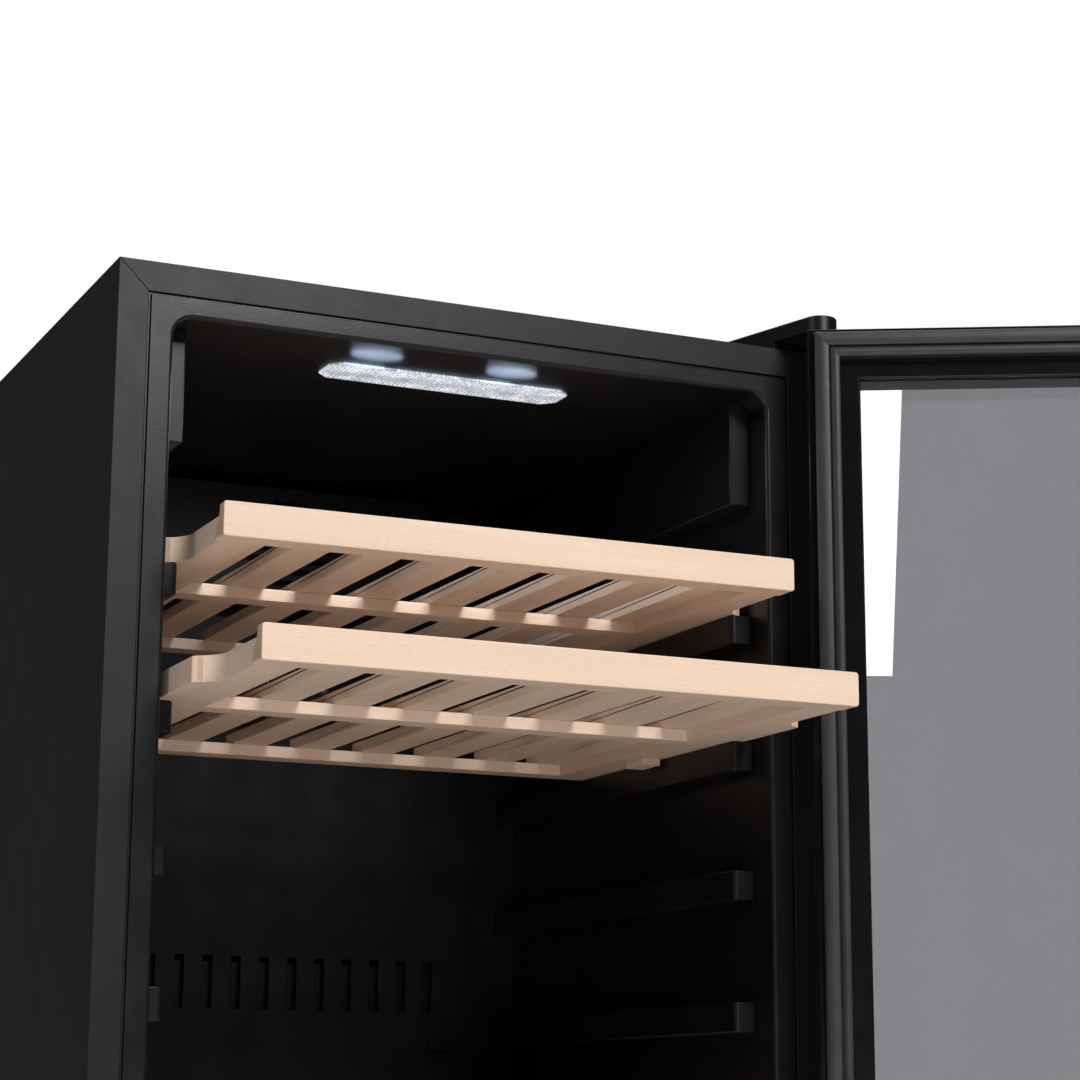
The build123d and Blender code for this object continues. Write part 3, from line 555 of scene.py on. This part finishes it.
def slab(low, high, width):
    """A block between two corners, its edges rounded to a width, or sharp at 0."""
    low, high = Vector(low), Vector(high)
    shape = bmesh.new()
    place = Matrix.Translation((low + high) / 2) @ Matrix.Diagonal((*(high - low), 1))
    bmesh.ops.create_cube(shape, size=1, matrix=place)
    if width:
        round_edges(shape, width)
    return shape


def upright(outline, low, high):
    """A prism on an outline of XY points."""
    shape = bmesh.new()
    base = shape.faces.new([shape.verts.new((x, y, low)) for x, y in outline])
    made = bmesh.ops.extrude_face_region(shape, geom=[base])["geom"]
    moved = [v for v in made if isinstance(v, bmesh.types.BMVert)]
    bmesh.ops.translate(shape, verts=moved, vec=(0, 0, high - low))
    return shape


def arc(first, middle, last, steps):
    """Points of the circle through three points, from the first to the last."""
    (ax, ay), (bx, by), (cx, cy) = first, middle, last
    d = 2 * (ax * (by - cy) + bx * (cy - ay) + cx * (ay - by))
    aa, bb, cc = ax * ax + ay * ay, bx * bx + by * by, cx * cx + cy * cy
    ux = (aa * (by - cy) + bb * (cy - ay) + cc * (ay - by)) / d
    uy = (aa * (cx - bx) + bb * (ax - cx) + cc * (bx - ax)) / d
    start = math.atan2(ay - uy, ax - ux)
    turn = (math.atan2(cy - uy, cx - ux) - start + math.pi) % (2 * math.pi) - math.pi
    radius = math.hypot(ax - ux, ay - uy)
    angles = [start + turn * n / steps for n in range(steps + 1)]
    return [(ux + radius * math.cos(t), uy + radius * math.sin(t)) for t in angles]


def softened(outline, radii, steps=4):
    """A closed 2-D outline with each corner rounded to its radius."""
    made = []
    for n, radius in enumerate(radii):
        corner = Vector(outline[n])
        before = (Vector(outline[n - 1]) - corner).normalized()
        after = (Vector(outline[(n + 1) % len(outline)]) - corner).normalized()
        if not radius:
            made.append(tuple(corner))
            continue
        half = before.angle(after) / 2
        reach = radius / math.tan(half)
        middle = corner + (before + after).normalized() * radius / math.sin(half)
        start = corner + before * reach - middle
        end = corner + after * reach - middle
        for k in range(steps + 1):
            made.append(tuple(middle + start.slerp(end, k / steps) * radius))
    return made


def merged(shapes):
    """One bmesh holding several, each kept as its own island."""
    whole = bmesh.new()
    for shape in shapes:
        carrier = bpy.data.meshes.new("carrier")
        shape.to_mesh(carrier)
        shape.free()
        whole.from_mesh(carrier)
        bpy.data.meshes.remove(carrier)
    return whole


# ------------------------------------------------------------------- woodwork


def grained(shape, axis):
    """Gives a stick its own grain: coordinates along the stick, a tone and its end faces."""
    low = Vector([min(v.co[n] for v in shape.verts) for n in range(3)])
    others = [n for n in range(3) if n != axis]
    start = Vector([CHANCE.uniform(0, 40) for _ in range(3)])
    shade = CHANCE.random()
    grain = shape.verts.layers.float_vector.new("grain")
    tone = shape.verts.layers.float.new("tone")
    end_grain = shape.faces.layers.float.new("end_grain")
    for v in shape.verts:
        local = v.co - low
        v[grain] = start + Vector((local[axis], local[others[0]], local[others[1]]))
        v[tone] = shade
    shape.normal_update()
    for f in shape.faces:
        f[end_grain] = 1.0 if abs(f.normal[axis]) > 0.8 else 0.0
    return shape


def rail_outline(side):
    """A shelf rail from above: set in behind the board, then scooped out to full width."""
    scoop = arc(
        (RAIL_NARROW, SCOOP_START),
        (RAIL_NARROW + 4 * MM, SCOOP_END - 8 * MM),
        (RAIL_WIDE - 3 * MM, SCOOP_END),
        7,
    )
    points = [
        (RAIL_INNER, BOARD_TOP_DEEP), (RAIL_NARROW, BOARD_TOP_DEEP), *scoop,
        (RAIL_WIDE, SCOOP_END + 3 * MM), (RAIL_WIDE, SHELF_DEEP), (RAIL_INNER, SHELF_DEEP),
    ]
    return [(side * x, y) for x, y in points]


def slat_spans():
    """Left and right side of each slat."""
    first = -(SLAT_COUNT - 1) * SLAT_PITCH / 2
    middles = [first + n * SLAT_PITCH for n in range(SLAT_COUNT)]
    spans = [(x - SLAT_WIDE / 2, x + SLAT_WIDE / 2) for x in middles]
    ends = [(-RAIL_INNER, END_SLAT_WIDE - RAIL_INNER), (RAIL_INNER - END_SLAT_WIDE, RAIL_INNER)]
    return spans + ends


def against_board(shape):
    """Cuts a stick's front end to the sloping back of the board, then eases its edges."""
    away = Vector((0, BOARD_SLOPE_TOP, BOARD_DEEP - BOARD_TOP_DEEP))
    cut = bmesh.ops.bisect_plane(
        shape, geom=shape.verts[:] + shape.edges[:] + shape.faces[:],
        plane_co=(0, BOARD_DEEP, 0), plane_no=away, clear_inner=True,
    )["geom_cut"]
    bmesh.ops.contextual_create(shape, geom=[e for e in cut if isinstance(e, bmesh.types.BMEdge)])
    round_edges(shape, WOOD_EASE)
    return shape


def shelf_sticks():
    """Every stick of a shelf's rack, each with its grain along its length."""
    sticks = []
    for side in (-1, 1):
        rail = against_board(upright(rail_outline(side), 0, RAIL_HIGH))
        sticks.append(grained(rail, 1))
        (x0, y0, z0), (x1, y1, z1) = STOP_BLOCK
        x0, x1 = sorted((side * x0, side * x1))
        sticks.append(grained(slab((x0, y0, z0), (x1, y1, z1), WOOD_EASE), 1))
    for y in BAR_FRONTS:
        bar_low = (-RAIL_NARROW, y, -BAR_DROP)
        bar_high = (RAIL_NARROW, y + BAR_DEEP, BAR_HIGH)
        sticks.append(grained(slab(bar_low, bar_high, WOOD_EASE), 0))
    for x0, x1 in slat_spans():
        slat = slab((x0, BOARD_TOP_DEEP, BAR_HIGH), (x1, SHELF_DEEP, RAIL_HIGH), 0)
        sticks.append(grained(against_board(slat), 1))
    return sticks


def shelves():
    for number in range(1, SHELF_COUNT + 1):
        body = f"shelf_{number}"
        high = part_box(f"{body}_rack")[1]
        place = Vector((0, high.y - SHELF_DEEP, high.z - RAIL_HIGH))
        rack = merged(shelf_sticks())
        bmesh.ops.translate(rack, verts=rack.verts, vec=place)
        weighted(as_piece(f"{body}_sticks", rack, "beech", body, f"{body}_rack"))
        board = grained(cleaned(f"{body}_front_board"), 0)
        weighted(as_piece(f"{body}_board", board, "beech", body, f"{body}_front_board"))


# -------------------------------------------------------------------- cabinet


def cabinet():
    for node in ("left_side_panel", "right_side_panel", "top_panel"):
        eased(node, 0.45 * MM)
    for node in ("front_sill", "kick_plate", "rear_grille", "base_plate"):
        eased(node, 0.35 * MM)
    eased("shelf_runners", 0.8 * MM)
    eased("inner_liner", 0.6 * MM, prepare=liner_mouth)
    for node in ("fan_duct", "rear_cover", "charcoal_filter"):
        eased(node, 0.5 * MM)


def liner_mouth(shape):
    """Rounds the edge where the liner's flange turns into the cold space."""
    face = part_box("inner_liner")[0].y
    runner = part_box("shelf_runners")[1]
    reach, top = runner.x + 1 * MM, runner.z + 1 * MM
    edges = [
        e for e in shape.edges
        if all(abs(v.co.y - face) < 0.01 * MM for v in e.verts)
        and all(abs(v.co.x) < reach and v.co.z < top for v in e.verts)
        and e.calc_face_angle(0) > math.radians(60)
    ]
    bottom = min(v.co.z for e in edges for v in e.verts)
    edges = [e for e in edges if all(v.co.z > bottom - 1 * MM for v in e.verts)]
    bmesh.ops.bevel(
        shape, geom=edges, offset=MOUTH_RADIUS, segments=5, profile=0.5, affect="EDGES"
    )


# ----------------------------------------------------------------------- lamp


def lamp_cover():
    """Prismatic cover: rows of small lenses inside a plain rim."""
    low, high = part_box("lamp_diffuser")
    middle = (low + high) / 2
    half = (high - low) / 2
    rows = round(2 * half.y / LAMP_STEP)
    columns = round(2 * half.x / LAMP_STEP)
    shape = bmesh.new()
    grid = []
    for r in range(rows + 1):
        y = -half.y + 2 * half.y * r / rows
        cut = max(0.0, abs(y) - half.y + LAMP_CHAMFER)
        row = []
        for c in range(columns + 1):
            x = (half.x - cut) * (2 * c / columns - 1)
            rim = min(half.y - abs(y), half.x - cut - abs(x)) / (2 * MM)
            stagger = math.cos(math.pi * x / LENS_PITCH) * math.cos(math.pi * y / LENS_PITCH)
            rise = LENS_DEPTH * (1 - abs(stagger)) * min(1.0, max(0.0, rim - 0.5))
            row.append(shape.verts.new((middle.x + x, middle.y + y, low.z + rise)))
        grid.append(row)
    notch_rear = low.y + LATCH_NOTCH[1]
    for r in range(rows):
        for c in range(columns):
            corners = (grid[r][c], grid[r][c + 1], grid[r + 1][c + 1], grid[r + 1][c])
            x = sum(v.co.x for v in corners) / 4
            y = sum(v.co.y for v in corners) / 4
            if abs(abs(x) - LATCH_X) > LATCH_NOTCH[0] or y > notch_rear:
                shape.faces.new(corners)
    loose = [v for v in shape.verts if not v.link_faces]
    bmesh.ops.delete(shape, geom=loose, context="VERTS")
    rim = [e for e in shape.edges if e.is_boundary]
    made = bmesh.ops.extrude_edge_only(shape, edges=rim)["geom"]
    raised = [v for v in made if isinstance(v, bmesh.types.BMVert)]
    for v in raised:
        v.co.z = high.z
    as_piece("lamp_lens", shape, "lamp_clear", "cabinet", "lamp_diffuser", smooth_angle=70)


def lamp_board():
    """Circuit strip with a lit diode in each package."""
    low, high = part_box("led_board")
    plate_low = high.z - BOARD_THICK
    board = slab((low.x, low.y, plate_low), high, 0.2 * MM)
    as_piece("led_strip", board, "circuit_board", "cabinet", "led_board")
    middle = (low.y + high.y) / 2
    diodes = [
        slab(
            (x * MM - DIODE_HALF, middle - DIODE_HALF, low.z),
            (x * MM + DIODE_HALF, middle + DIODE_HALF, plate_low),
            0.3 * MM,
        )
        for x in range(-DIODE_END, DIODE_END + 1, DIODE_PITCH)
    ]
    lights = as_piece("led_diodes", merged(diodes), "circuit_board", "cabinet")
    lights.data.materials[0] = DIODE_LIGHT


# ----------------------------------------------------------------------- door


def hinge_turn():
    """Moves a shape drawn with the door closed to the rest pose."""
    axis = Vector(DOOR_JOINT["pos_m"])
    there = Matrix.Translation(axis)
    return there @ Matrix.Rotation(DOOR_TURN, 4, "Z") @ there.inverted()


OPENED = hinge_turn()


def closed_box(node):
    """Lowest and highest corner of a door node with the door closed."""
    back = OPENED.inverted()
    points = [back @ v.co for v in frame["nodes"][node].data.vertices]
    low = Vector([min(p[n] for p in points) for n in range(3)])
    high = Vector([max(p[n] for p in points) for n in range(3)])
    return low, high


def mitred(profile, low, high, gap, across_zero=0.0):
    """Four members with one profile, cut at 45 degrees where they meet.

    The profile's points are (inset from the rectangle's edge, Y). The members carry
    two coordinates for materials: along the member, and across it from a given Y.
    """
    members = []
    for side in range(4):
        shape = bmesh.new()
        along = shape.verts.layers.float.new("along")
        across = shape.verts.layers.float.new("across")
        ends = []
        for end in (0, 1):
            ring = []
            for inset, y in profile:
                back = inset + gap
                if side % 2:
                    x = low.x + inset if side == 1 else high.x - inset
                    z = high.z - back if end else low.z + back
                else:
                    x = high.x - back if end else low.x + back
                    z = low.z + inset if side == 0 else high.z - inset
                v = shape.verts.new((x, y, z))
                v[along] = z if side % 2 else x
                v[across] = y - across_zero
                ring.append(v)
            ends.append(ring)
        count = len(profile)
        for n in range(count):
            m = (n + 1) % count
            shape.faces.new((ends[0][n], ends[0][m], ends[1][m], ends[1][n]))
        shape.faces.new(ends[0])
        shape.faces.new(ends[1])
        bmesh.ops.recalc_face_normals(shape, faces=shape.faces)
        members.append(shape)
    return members


def drilled(shape, centre, radius, low, high):
    """Cuts an upright hole through a bmesh."""
    body = bpy.data.objects.new("drill_body", bpy.data.meshes.new("drill_body"))
    shape.to_mesh(body.data)
    shape.free()
    tool_shape = bmesh.new()
    place = Matrix.Translation((centre.x, centre.y, (low + high) / 2))
    bmesh.ops.create_cone(
        tool_shape, cap_ends=True, segments=48, radius1=radius, radius2=radius,
        depth=high - low, matrix=place,
    )
    tool = bpy.data.objects.new("drill_tool", bpy.data.meshes.new("drill_tool"))
    tool_shape.to_mesh(tool.data)
    tool_shape.free()
    for made in (body, tool):
        bpy.context.scene.collection.objects.link(made)
    cut = body.modifiers.new("hole", "BOOLEAN")
    cut.operation = "DIFFERENCE"
    cut.solver = "EXACT"
    cut.object = tool
    bpy.context.view_layer.update()
    result = bmesh.new()
    done = body.evaluated_get(bpy.context.evaluated_depsgraph_get())
    result.from_mesh(done.to_mesh())
    done.to_mesh_clear()
    for made in (body, tool):
        mesh = made.data
        bpy.data.objects.remove(made)
        bpy.data.meshes.remove(mesh)
    return result


def door_profile():
    """Section of the door's frame: outer side, seat for the gasket, and lip over the pane."""
    low, high = closed_box("door_frame")
    back, face = low.y, high.y
    pane = face - PANE_BEHIND
    gasket_end = GASKET_EDGE + GASKET_WIDE
    seat = face - 0.8 * MM
    points = [
        (0, back), (0, face), (GASKET_EDGE - 0.6 * MM, face), (GASKET_EDGE - 0.2 * MM, seat),
        (gasket_end + 0.2 * MM, seat), (gasket_end + 0.6 * MM, face),
        (LIP_EDGE, face), (LIP_EDGE, pane), (PANE_EDGE, pane), (PANE_EDGE, back),
    ]
    radii = [0, 1.2 * MM, 0.2 * MM, 0.1 * MM, 0.1 * MM, 0.2 * MM, 1.6 * MM, 0.3 * MM, 0, 0]
    return softened(points, radii), low, high


def door_frame():
    profile, low, high = door_profile()
    members = mitred(profile, low, high, MITRE_GAP)
    axis = Vector(DOOR_JOINT["pos_m"])
    bottom, top, hinge_side = 0, 2, 3
    for member, z in (
        (bottom, low.z), (top, high.z), (hinge_side, low.z), (hinge_side, high.z)
    ):
        members[member] = drilled(
            members[member], axis, BUSH_RADIUS, z - BUSH_REACH, z + BUSH_REACH
        )
    shape = merged(members)
    bmesh.ops.transform(shape, matrix=OPENED, verts=shape.verts)
    weighted(as_piece("door_frame_mitred", shape, "door_plastic", "door", "door_frame"))


def gasket_profile():
    """Section of the gasket: crowned magnetic band, a groove, and a round bellows."""
    low, high = closed_box("door_gasket")
    base, face = low.y - 0.7 * MM, high.y
    e = GASKET_EDGE
    crown = arc(
        (e + 1.0 * MM, face - 0.9 * MM), (e + 5.8 * MM, face), (e + 10.5 * MM, face - 0.8 * MM), 8
    )
    points = [
        (e, base), (e, face - 6.5 * MM), (e + 0.8 * MM, face - 5.0 * MM),
        (e, face - 3.6 * MM), (e + 0.2 * MM, face - 1.6 * MM), *crown,
        (e + GASKET_BAND, face - 2.2 * MM), (e + GASKET_BAND, face - 4.6 * MM),
        (e + BELLOWS_START, face - 4.6 * MM), (e + BELLOWS_START, face - 2.6 * MM),
    ]
    bulb = arc(
        (e + BELLOWS_START, face - 2.6 * MM), (e + 15.5 * MM, face - 1.5 * MM),
        (e + BELLOWS_END, face - 2.9 * MM), 8,
    )[1:]
    tail = [
        (e + GASKET_WIDE, face - 4.2 * MM), (e + GASKET_WIDE - 0.5 * MM, face - 6.0 * MM),
        (e + GASKET_WIDE, face - 7.6 * MM), (e + GASKET_WIDE, base),
    ]
    return points + bulb + tail, low, high


def door_gasket():
    profile, low, high = gasket_profile()
    edge = Vector((GASKET_EDGE, 0, GASKET_EDGE))
    shape = merged(mitred(profile, low - edge, high + edge, 0.0))
    bmesh.ops.transform(shape, matrix=OPENED, verts=shape.verts)
    as_piece("gasket_extrusion", shape, "gasket", "door", "door_gasket", smooth_angle=40)
    weld_flash(profile, low - edge, high + edge)


def weld_flash(profile, low, high):
    """Thin bead where the gasket's members are welded at the corners."""
    middle = Vector((
        sum(e for e, y in profile) / len(profile), sum(y for e, y in profile) / len(profile)
    ))
    proud = []
    for n, point in enumerate(profile):
        away = (Vector(point) - middle).normalized()
        proud.append(Vector(point) + away * (0.22 + 0.12 * math.sin(2.3 * n)) * MM)
    beads = []
    for corner_x, step_x in ((low.x, 1), (high.x, -1)):
        for corner_z, step_z in ((low.z, 1), (high.z, -1)):
            shape = bmesh.new()
            rings = []
            for shift in (-WELD_HALF, WELD_HALF):
                ring = [
                    shape.verts.new((
                        corner_x + step_x * (e + shift), y, corner_z + step_z * (e - shift)
                    ))
                    for e, y in proud
                ]
                rings.append(ring)
            for n in range(len(proud)):
                m = (n + 1) % len(proud)
                shape.faces.new((rings[0][n], rings[0][m], rings[1][m], rings[1][n]))
            shape.faces.new(rings[0])
            shape.faces.new(rings[1])
            beads.append(shape)
    flash = merged(beads)
    bmesh.ops.transform(flash, matrix=OPENED, verts=flash.verts)
    as_piece("gasket_welds", flash, "gasket", "door")


def glass_spacer():
    low, high = closed_box("glass_spacer")
    back, front = low.y, high.y
    points = [(0, back), (0, front), (SPACER_WIDE, front), (SPACER_WIDE, back)]
    profile = softened(points, [0.6 * MM] * 4, steps=2)
    shape = merged(mitred(profile, low, high, 0.0, front - HOLE_LINE))
    bmesh.ops.transform(shape, matrix=OPENED, verts=shape.verts)
    weighted(as_piece("spacer_bar", shape, "spacer_metal", "door", "glass_spacer"))


def door():
    door_frame()
    door_gasket()
    glass_spacer()
    for node in ("outer_glass", "inner_glass"):
        eased(node, 0.7 * MM)
    eased("touch_panel", 0.3 * MM)


# --------------------------------------------------------------------- stage


def floor():
    shape = bmesh.new()
    bmesh.ops.create_grid(shape, x_segments=1, y_segments=1, size=6)
    mesh = bpy.data.meshes.new("studio_floor")
    shape.to_mesh(mesh)
    shape.free()
    mesh.materials.append(floor_surface().material)
    piece = bpy.data.objects.new("studio_floor", mesh)
    bpy.context.scene.collection.objects.link(piece)


def softbox(name, place, target, size, power, colour=(1, 1, 1), shape="RECTANGLE"):
    """A flat light, unseen by the camera, aimed at a point."""
    light = bpy.data.lights.new(name, "AREA")
    light.shape = shape
    light.size, light.size_y = size
    light.energy = power
    light.color = colour
    lamp = bpy.data.objects.new(name, light)
    lamp.location = place
    lamp.rotation_euler = (Vector(target) - Vector(place)).to_track_quat("-Z", "Y").to_euler()
    lamp.visible_camera = False
    bpy.context.scene.collection.objects.link(lamp)


def lamp_glow():
    """Cold light of the lamp, and the two patches that leak onto the ceiling in front."""
    low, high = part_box("lamp_diffuser")
    middle = (low + high) / 2
    softbox(
        "lamp_light", (middle.x, middle.y, low.z - 1 * MM), (middle.x, middle.y, 0),
        (high.x - low.x, high.y - low.y), LAMP_POWER, LAMP_COLOUR,
    )
    for x in LEAK_X:
        leak = Vector((x, low.y - LEAK_FORWARD, high.z - LEAK_DROP))
        above = leak + Vector((0, 0, 1))
        softbox("lamp_leak", leak, above, LEAK_SIZE, LEAK_POWER, LEAK_COLOUR, "ELLIPSE")


def surroundings():
    """White where the camera sees the world, also through glass; a weak even light elsewhere."""
    world = bpy.data.worlds.new("studio")
    world.use_nodes = True
    tree = world.node_tree
    back = tree.nodes["Background"]
    rays = tree.nodes.new("ShaderNodeLightPath")
    seen = tree.nodes.new("ShaderNodeMath")
    seen.operation = "MAXIMUM"
    tree.links.new(rays.outputs["Is Camera Ray"], seen.inputs[0])
    tree.links.new(rays.outputs["Is Transmission Ray"], seen.inputs[1])
    strength = tree.nodes.new("ShaderNodeMapRange")
    strength.inputs["To Min"].default_value = WORLD_LIGHT
    strength.inputs["To Max"].default_value = 1.0
    tree.links.new(seen.outputs[0], strength.inputs["Value"])
    tree.links.new(strength.outputs["Result"], back.inputs["Strength"])
    back.inputs["Color"].default_value = (1, 1, 1, 1)
    bpy.context.scene.world = world


def camera():
    yaw, pitch, roll = CAMERA_YAW, CAMERA_PITCH, CAMERA_ROLL
    forward = Vector((
        math.sin(yaw) * math.cos(pitch), math.cos(yaw) * math.cos(pitch), math.sin(pitch)
    ))
    level = Vector((math.cos(yaw), -math.sin(yaw), 0))
    above = level.cross(forward)
    right = math.cos(roll) * level + math.sin(roll) * above
    up = math.cos(roll) * above - math.sin(roll) * level
    data = bpy.data.cameras.new("camera")
    data.lens = CAMERA_LENS
    data.sensor_width = CAMERA_SENSOR
    view = bpy.data.objects.new("camera", data)
    turned = Matrix((right, up, -forward)).transposed().to_4x4()
    view.matrix_world = Matrix.Translation(CAMERA_PLACE) @ turned
    bpy.context.scene.collection.objects.link(view)
    bpy.context.scene.camera = view


shelves()
cabinet()
lamp_cover()
lamp_board()
door()
floor()
surroundings()
for studio_light in STUDIO_LIGHTS:
    softbox(*studio_light)
lamp_glow()
camera()
bpy.context.scene.view_settings.view_transform = "Standard"
